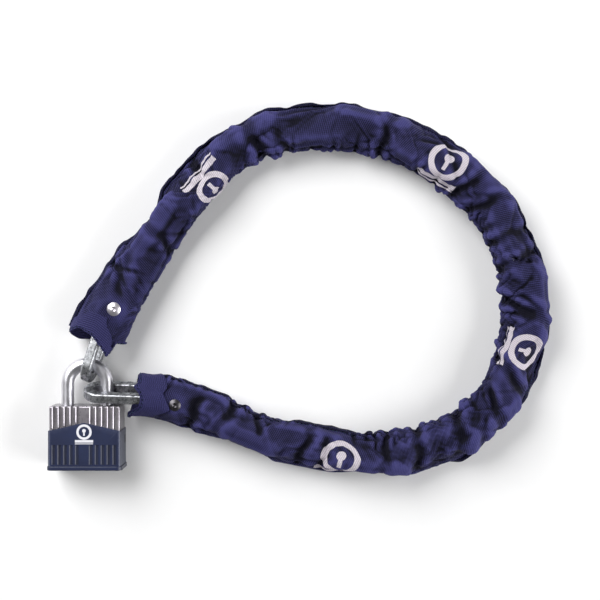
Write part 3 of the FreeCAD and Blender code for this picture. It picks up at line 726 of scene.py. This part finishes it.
# ---------------------------------------------------------------- materials
WEAVE_PITCH = 1.55 * MM
WEAVE_SLANT = 0.28
FLUTE_DEPTH = 0.8 * MM
SLEEVE_MARK_SIZE = 1.45
JACKET_MARK_SIZE = 0.55
JACKET_MARK_UP = 25 * MM  # the mark's height over the jacket's lower edge


def linear(*display):
    """A colour given as display values from 0 to 255."""
    return tuple(((c / 255 + 0.055) / 1.055) ** 2.4 if c > 10 else c / 255 / 12.92 for c in display) + (1,)


def times(color, factor):
    """A colour made darker or lighter."""
    return tuple(min(c * factor, 1) for c in color[:3]) + (1,)


class Surface:
    """A procedural material, built up from a few kinds of node."""

    def __init__(self, name, **constants):
        self.material = bpy.data.materials.new(name)
        self.material.use_nodes = True
        self.tree = self.material.node_tree
        self.shader = self.tree.nodes["Principled BSDF"]
        for socket, value in constants.items():
            self.shader.inputs[socket.replace("_", " ")].default_value = value

    def node(self, kind, inputs=(), **settings):
        made = self.tree.nodes.new(kind)
        for key, value in settings.items():
            setattr(made, key, value)
        for key, value in dict(inputs).items():
            self.put(made.inputs[key], value)
        return made

    def put(self, socket, value):
        if isinstance(value, bpy.types.NodeSocket):
            self.tree.links.new(value, socket)
        else:
            socket.default_value = value

    def math(self, operation, a, b=0.0, clamp=False):
        return self.node("ShaderNodeMath", {0: a, 1: b}, operation=operation, use_clamp=clamp).outputs[0]

    def noise(self, vector, scale, detail=3.0, roughness=0.55):
        made = self.node("ShaderNodeTexNoise",
                         {"Vector": vector, "Scale": scale, "Detail": detail, "Roughness": roughness})
        return made.outputs[0]

    def spread(self, value, low, high, new_low=0.0, new_high=1.0):
        inputs = {0: value, 1: low, 2: high, 3: new_low, 4: new_high}
        return self.node("ShaderNodeMapRange", inputs).outputs[0]

    def away(self, a, b):
        """Distance from the point where both values are 0."""
        return self.math("SQRT", self.math("ADD", self.math("MULTIPLY", a, a), self.math("MULTIPLY", b, b)))

    def mix(self, share, a, b):
        made = self.node("ShaderNodeMix", {"Factor": share}, data_type="RGBA")
        self.put(made.inputs[6], a)
        self.put(made.inputs[7], b)
        return made.outputs[2]

    def place(self):
        return self.node("ShaderNodeTexCoord").outputs["Object"]

    def stretched(self, vector, scale):
        return self.node("ShaderNodeMapping", {"Vector": vector, "Scale": scale}).outputs[0]

    def separate(self, vector):
        return self.node("ShaderNodeSeparateXYZ", {0: vector}).outputs

    def finish(self, color=None, roughness=None, height=None, distance=0.0005, strength=1.0):
        if color is not None:
            self.put(self.shader.inputs["Base Color"], color)
        if roughness is not None:
            self.put(self.shader.inputs["Roughness"], roughness)
        if height is not None:
            relief = {"Height": height, "Distance": distance, "Strength": strength}
            self.put(self.shader.inputs["Normal"], self.node("ShaderNodeBump", relief).outputs[0])
        return self.material


def near(surface, value, centre, half):
    """1 where a value is within half of centre."""
    return surface.math("LESS_THAN", surface.math("ABSOLUTE", surface.math("SUBTRACT", value, centre)), half)


def generic_mark(s, across, up, size):
    """A ring round a keyhole, over two plain bars: a sign that stands for no maker."""
    def mm(value):
        return value * MM * size

    ring = near(s, s.away(across, s.math("SUBTRACT", up, mm(3.5))), mm(9.2), mm(1.7))
    hole = s.math("LESS_THAN", s.away(across, s.math("SUBTRACT", up, mm(5.2))), mm(2.7))
    slot = s.math("MULTIPLY", near(s, up, mm(1.8), mm(3.6)), near(s, across, 0.0, mm(1.15)))
    row = s.math("MULTIPLY", near(s, up, mm(-9.6), mm(1.8)), near(s, across, 0.0, mm(13.0)))
    rule = s.math("MULTIPLY", near(s, up, mm(-13.2), mm(0.55)), near(s, across, 0.0, mm(13.0)))
    total = ring
    for part in (hole, slot, row, rule):
        total = s.math("MAXIMUM", total, part)
    return total


def woven_fabric(name, light, dark, marked):
    """Coarse plain-woven nylon with white printed marks, and painted light: yarn tops and cloth ridges lighter
    (painted highlight, on the ridges partly wear), gaps between yarns and valleys of the cloth darker (painted
    shade).
    """
    s = Surface(name, Sheen_Weight=0.10, Sheen_Roughness=0.45, Specular_IOR_Level=0.16)
    s.shader.inputs["Sheen Tint"].default_value = linear(176, 172, 236)
    weave = s.node("ShaderNodeUVMap", uv_map="weave").outputs[0]
    drift = s.noise(weave, 55.0, 2.0)
    u, v, _ = s.separate(weave)
    slanted = s.math("ADD", u, s.math("MULTIPLY", v, WEAVE_SLANT))
    shifted = s.math("ADD", slanted, s.math("MULTIPLY", drift, 0.9 * MM))
    warp = s.math("SINE", s.math("MULTIPLY", shifted, math.pi / WEAVE_PITCH))
    weft = s.math("SINE", s.math("MULTIPLY", v, math.pi / WEAVE_PITCH))
    over = s.math("GREATER_THAN", s.math("MULTIPLY", warp, weft), 0.0)
    warp_top, weft_top = s.math("ABSOLUTE", warp), s.math("ABSOLUTE", weft)
    height = s.math("ADD", s.math("MULTIPLY", warp_top, s.math("ADD", s.math("MULTIPLY", over, 0.25), 0.6)),
                    s.math("MULTIPLY", weft_top, s.math("SUBTRACT", 0.30, s.math("MULTIPLY", over, 0.18))))
    yarn = s.noise(s.stretched(weave, (1800.0, 5200.0, 1.0)), 1.0, 2.0)
    patch = s.noise(s.place(), 26.0, 4.0)
    # yarn tops painted lighter and the gaps between them darker: painted highlight and painted shade at the scale
    # of the weave
    lit = s.spread(s.math("ADD", height, s.math("MULTIPLY", yarn, 0.35)), 0.40, 1.20)
    lit = s.math("MULTIPLY", lit, s.spread(patch, 0.3, 0.7, 0.72, 1.12), clamp=True)
    color = s.mix(lit, dark, light)
    fold = s.separate(s.node("ShaderNodeUVMap", uv_map="fold").outputs[0])[0]
    # ridges of the cloth painted lighter, varying yarn by yarn: a painted highlight, partly wear
    highlight_and_wear = s.math("MULTIPLY", s.spread(fold, 0.45, 0.15), s.spread(yarn, 0.3, 0.7, 0.25, 0.7))
    color = s.mix(highlight_and_wear, color, times(light, 2.1))
    # valleys of the cloth painted near black: painted shade
    color = s.mix(s.spread(fold, 0.50, 0.76, 0.0, 0.90), color, times(dark, 0.35))
    if marked:
        across, up, _ = s.separate(s.node("ShaderNodeUVMap", uv_map="mark").outputs[0])
        printed = generic_mark(s, across, up, SLEEVE_MARK_SIZE)
        worn = s.spread(s.noise(weave, 900.0, 3.0), 0.26, 0.36)
        ink = s.mix(s.spread(height, 0.1, 0.9), linear(168, 160, 172), linear(216, 209, 216))
        color = s.mix(s.math("MULTIPLY", printed, worn), color, ink)
    rough = s.spread(height, 0.2, 1.2, 0.86, 0.62)
    return s.finish(color, rough, height, 0.42 * MM, 0.85)


def thread():
    """Pale blue sewing thread with a twist."""
    s = Surface("thread", Specular_IOR_Level=0.4)
    twist = s.noise(s.stretched(s.place(), (2600.0, 2600.0, 2600.0)), 1.0, 2.0)
    color = s.mix(twist, linear(58, 96, 140), linear(126, 170, 208))
    return s.finish(color, s.spread(twist, 0, 1, 0.5, 0.7), twist, 0.08 * MM)


def metal(name, color, roughness, grain_scale, grain=(1.0, 1.0, 1.0), spread=0.12, stain=0.8):
    """A plain metal finish with fine grain, cloudy staining and uneven gloss."""
    s = Surface(name, Metallic=1.0)
    place_at = s.place()
    fine = s.noise(s.stretched(place_at, grain), grain_scale, 4.0, 0.65)
    cloud = s.noise(place_at, 70.0, 4.0)
    tint = s.mix(s.spread(cloud, 0.32, 0.68), times(color, stain), color)
    tint = s.mix(s.spread(fine, 0.35, 0.75, 0.0, 0.45), tint, times(color, 1.25))
    rough = s.math("ADD", s.spread(fine, 0.2, 0.8, roughness - spread / 2, roughness + spread / 2),
                   s.spread(cloud, 0.3, 0.7, 0.0, spread / 2), clamp=True)
    return s.finish(tint, rough, fine, 0.03 * MM)


def hammered_zinc():
    """Zinc plating over forged bar: mottled flats with dark scale in the hollows."""
    s = Surface("hammered_zinc", Metallic=1.0)
    at = s.place()
    lump = s.noise(at, 330.0, 5.0, 0.7)
    fine = s.noise(at, 1500.0, 3.0, 0.6)
    cloud = s.noise(at, 90.0, 3.0)
    mottle = s.math("ADD", s.math("MULTIPLY", lump, 0.75), s.math("MULTIPLY", fine, 0.25))
    color = s.mix(s.spread(mottle, 0.36, 0.62), linear(38, 40, 48), linear(244, 246, 250))
    color = s.mix(s.spread(cloud, 0.35, 0.75, 0.0, 0.4), color, linear(108, 112, 120))
    rough = s.spread(mottle, 0.35, 0.65, 0.52, 0.27)
    return s.finish(color, rough, mottle, 0.22 * MM)


def fluted(s, color, z, face):
    """Painted shade in the flutes: dark on their floors, plain on the ridges between them."""
    value = s.spread(z, face - FLUTE_DEPTH, face - 0.1 * FLUTE_DEPTH, 0.55, 1.0)
    return s.node("ShaderNodeHueSaturation", {"Color": color, "Value": value}).outputs[0]


def painted_cover():
    """Matte moulded cover: dark blue, faintly pebbled, rubbed lighter on its edges, with a white mark."""
    s = Surface("painted_cover", Specular_IOR_Level=0.55, Coat_Weight=0.12, Coat_Roughness=0.30)
    at = s.place()
    pebble = s.noise(at, 2300.0, 3.0)
    cloud = s.noise(at, 60.0, 4.0)
    color = s.mix(s.spread(cloud, 0.3, 0.7), linear(22, 30, 60), linear(29, 39, 73))
    rub = s.node("ShaderNodeNewGeometry").outputs["Pointiness"]
    rubbed = s.math("MULTIPLY", s.spread(rub, 0.53, 0.62), s.spread(pebble, 0.35, 0.7), clamp=True)
    color = s.mix(s.math("MULTIPLY", rubbed, 0.55), color, linear(128, 134, 160))
    x, y, z = s.separate(at)
    jacket_low, jacket_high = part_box("body_jacket")
    across = s.math("SUBTRACT", x, (jacket_low.x + jacket_high.x) / 2)
    up = s.math("SUBTRACT", y, jacket_low.y + JACKET_MARK_UP)
    front = s.math("GREATER_THAN", z, jacket_high.z - FLUTE_DEPTH)
    # the flutes' floors painted darker: painted shade
    color = fluted(s, color, z, jacket_high.z)
    mark = s.math("MULTIPLY", generic_mark(s, across, up, JACKET_MARK_SIZE), front)
    color = s.mix(mark, color, linear(226, 226, 232))
    rough = s.spread(pebble, 0.2, 0.8, 0.36, 0.50)
    return s.finish(color, rough, pebble, 0.03 * MM)


def cast_silver():
    """Satin die casting with vertical draw lines."""
    s = Surface("cast_silver", Metallic=0.85, Specular_IOR_Level=0.5)
    at = s.place()
    grain = s.noise(s.stretched(at, (1.0, 0.16, 1.0)), 2100.0, 3.0)
    cloud = s.noise(at, 75.0, 4.0)
    color = s.mix(s.spread(cloud, 0.3, 0.7), linear(166, 160, 170), linear(204, 199, 206))
    color = s.mix(s.spread(grain, 0.4, 0.75, 0.0, 0.5), color, linear(196, 192, 198))
    # the flutes' floors painted darker: painted shade
    color = fluted(s, color, s.separate(at)[2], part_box("lock_body")[1].z)
    rough = s.spread(grain, 0.25, 0.75, 0.24, 0.38)
    return s.finish(color, rough, grain, 0.03 * MM)


def moulded_black():
    """Black plastic with a fine grain."""
    s = Surface("moulded_black", Specular_IOR_Level=0.45)
    grain = s.noise(s.place(), 1900.0, 3.0)
    color = s.mix(s.spread(grain, 0.3, 0.7), linear(20, 20, 23), linear(36, 36, 41))
    return s.finish(color, s.spread(grain, 0.3, 0.7, 0.42, 0.6), grain, 0.03 * MM)


FABRIC = woven_fabric("sleeve_weave", linear(56, 55, 102), linear(6, 5, 22), True)
SEAM_CLOTH = woven_fabric("seam_weave", linear(32, 32, 70), linear(7, 6, 22), False)
THREAD = thread()
FINISHES = {
    "silver_casting": cast_silver(),
    "navy_cover": painted_cover(),
    "black_plastic": moulded_black(),
    "shackle_steel": metal("satin_steel", linear(228, 227, 234), 0.36, 900.0, (1.0, 0.25, 1.0), 0.10, 0.86),
    "link_steel": hammered_zinc(),
    "inner_steel": metal("drawn_steel", linear(186, 186, 192), 0.30, 1500.0, (1.0, 0.3, 1.0)),
    "dark_steel": metal("blackened_steel", linear(84, 84, 90), 0.42, 1200.0),
    "brass": metal("turned_brass", linear(222, 182, 108), 0.28, 1400.0, (0.3, 1.0, 0.3)),
    "bright_rivet": metal("nickel", linear(226, 222, 229), 0.36, 1300.0, spread=0.10, stain=0.9),
    "dark_rivet": metal("antique_plate", linear(92, 90, 94), 0.34, 900.0, spread=0.16, stain=0.6),
}
for subpart in frame["record"]["subparts"]:
    node = frame["nodes"][subpart["node"]]
    node.data.materials.clear()
    node.data.materials.append(FINISHES.get(subpart["material_slot"], FABRIC))

# ---------------------------------------------------------------- the sleeve, one piece for each pivot
middles = [(place(k) + place(k + 1)) / 2 for k in range(1, LINKS - 1)]
cuts = [0] + [int(np.argmin(np.abs(nominal - m))) for m in middles] + [fine_rows - 1]
across_distance = cloth_across(seam, fine_around)
full_turn = np.linspace(0, 2 * np.pi, fine_around + 1)[None, :]
along_distance = np.broadcast_to(cloth_distance[:, None], (fine_rows, fine_around + 1))
marks = mark_places(along_distance, np.broadcast_to(full_turn, along_distance.shape))
cuffs = {"bow": cuff(list(range(CUFF_REACH_ROWS)), BOW_CUFF),
         "leg": cuff(list(range(fine_rows - 1, fine_rows - 1 - CUFF_REACH_ROWS, -1)), LEG_CUFF)}


def add_cuff(piece, end):
    """Adds one mouth's turned-back cuff and its row of stitches."""
    points, point_normals, reach = cuffs[end]
    closed = np.concatenate([reach, reach[:, :1]], axis=1)
    v = np.broadcast_to(across_distance[0 if end == "bow" else -1], closed.shape)
    nowhere = np.full(closed.shape + (2,), PRINT_NOWHERE)
    level = np.full(closed.shape, CUFF_HOLLOW)
    if end == "bow":
        piece.add_grid(points, point_normals, -closed, v, nowhere, level)
    else:
        piece.add_grid(points[::-1], point_normals[::-1], cloth_length + closed[::-1], v, nowhere, level)
    sewn, sewn_normals = points[CUFF_STITCH_ROW], point_normals[CUFF_STITCH_ROW]
    stitches(piece, np.concatenate([sewn, sewn[:1]]), np.concatenate([sewn_normals, sewn_normals[:1]]))


for index in range(1, LINKS):
    first, last = cuts[index - 1], cuts[index]
    rows_here = slice(first, last + 1)
    piece = Piece()
    piece.add_grid(shape[rows_here], normals[rows_here], along_distance[rows_here],
                   across_distance[rows_here], marks[rows_here], hollow[rows_here])
    seam_rows = range(max(first, SEAM_END_ROWS), min(last, fine_rows - 1 - SEAM_END_ROWS) + 1)
    piece.add_tube([seam_loop(i) for i in seam_rows], SEAM_SLOT)
    sewn = [seam_points[i] + seam_side[i] * SEAM_THICKNESS * (1 - 2 * seam_inner[i]) for i in seam_rows]
    stitches(piece, sewn, seam_normals[list(seam_rows)])
    flat_length = cloth_distance[last] - cloth_distance[first]
    stands_for = [f"sleeve_section_{index + 1:02d}"] if index < LINKS - 1 else ["cuff_leg_end"]
    if index == 1:
        add_cuff(piece, "bow")
        flat_length += cuffs["bow"][2][-1].mean()
        stands_for.append("cuff_bow_end")
    if index == LINKS - 1:
        add_cuff(piece, "leg")
        flat_length += cuffs["leg"][2][-1].mean()
    obj = piece.build(f"sleeve_{index:02d}", [FABRIC, SEAM_CLOTH, THREAD])
    following = pivots[index + 1] if index + 1 < LINKS else pivots[index] + last_way * 0.05
    way = (following - pivots[index - 1]).normalized()
    way.z = 0
    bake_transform(obj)
    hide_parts(*stands_for)

# ---------------------------------------------------------------- table, lights and camera
ROOM = 3.0
floor = level_square("table_top", ROOM)
floor.location.z = -0.1 * MM
white = Surface("white_table", Roughness=0.9, Specular_IOR_Level=0.1)
grain = white.noise(white.place(), 40.0, 2.0)
paint = white.mix(grain, (0.93, 0.93, 0.93, 1), (0.96, 0.96, 0.96, 1))
floor.data.materials.append(white.finish(paint))

# the studio's walls are bright and its ceiling is dim: a direction's height, from and to, and the
# world's strength there
WALLS_TO_CEILING = (0.35, 0.97, 4.4, 1.45)
SOFTBOX = 1.2
VIEW_ANGLE = 28.94


def area_light(name, location, power):
    """A square softbox that faces the object."""
    light = bpy.data.lights.new(name, "AREA")
    light.size = SOFTBOX
    light.energy = power
    obj = add_object(name, light)
    obj.location = location
    obj.rotation_euler = (-Vector(location)).to_track_quat("-Z", "Y").to_euler()


area_light("key", (-0.85, 0.75, 0.95), 30.0)
area_light("fill", (1.3, -0.3, 0.60), 22.0)
world = bpy.data.worlds.new("studio")
world.use_nodes = True
sky = world.node_tree
toward = sky.nodes.new("ShaderNodeTexCoord")
parts = sky.nodes.new("ShaderNodeSeparateXYZ")
fade = sky.nodes.new("ShaderNodeMapRange")
for number, value in enumerate(WALLS_TO_CEILING, start=1):
    fade.inputs[number].default_value = value
sky.links.new(toward.outputs["Generated"], parts.inputs[0])
sky.links.new(parts.outputs["Z"], fade.inputs[0])
sky.links.new(fade.outputs[0], sky.nodes["Background"].inputs["Strength"])
bpy.context.scene.world = world
bpy.context.scene.view_settings.view_transform = "Standard"

camera_data = bpy.data.cameras.new("camera")
camera_data.angle = math.radians(VIEW_ANGLE)
camera = add_object("camera", camera_data)
camera.location = (-0.00187, -0.00742, 0.937)
bpy.context.scene.camera = camera
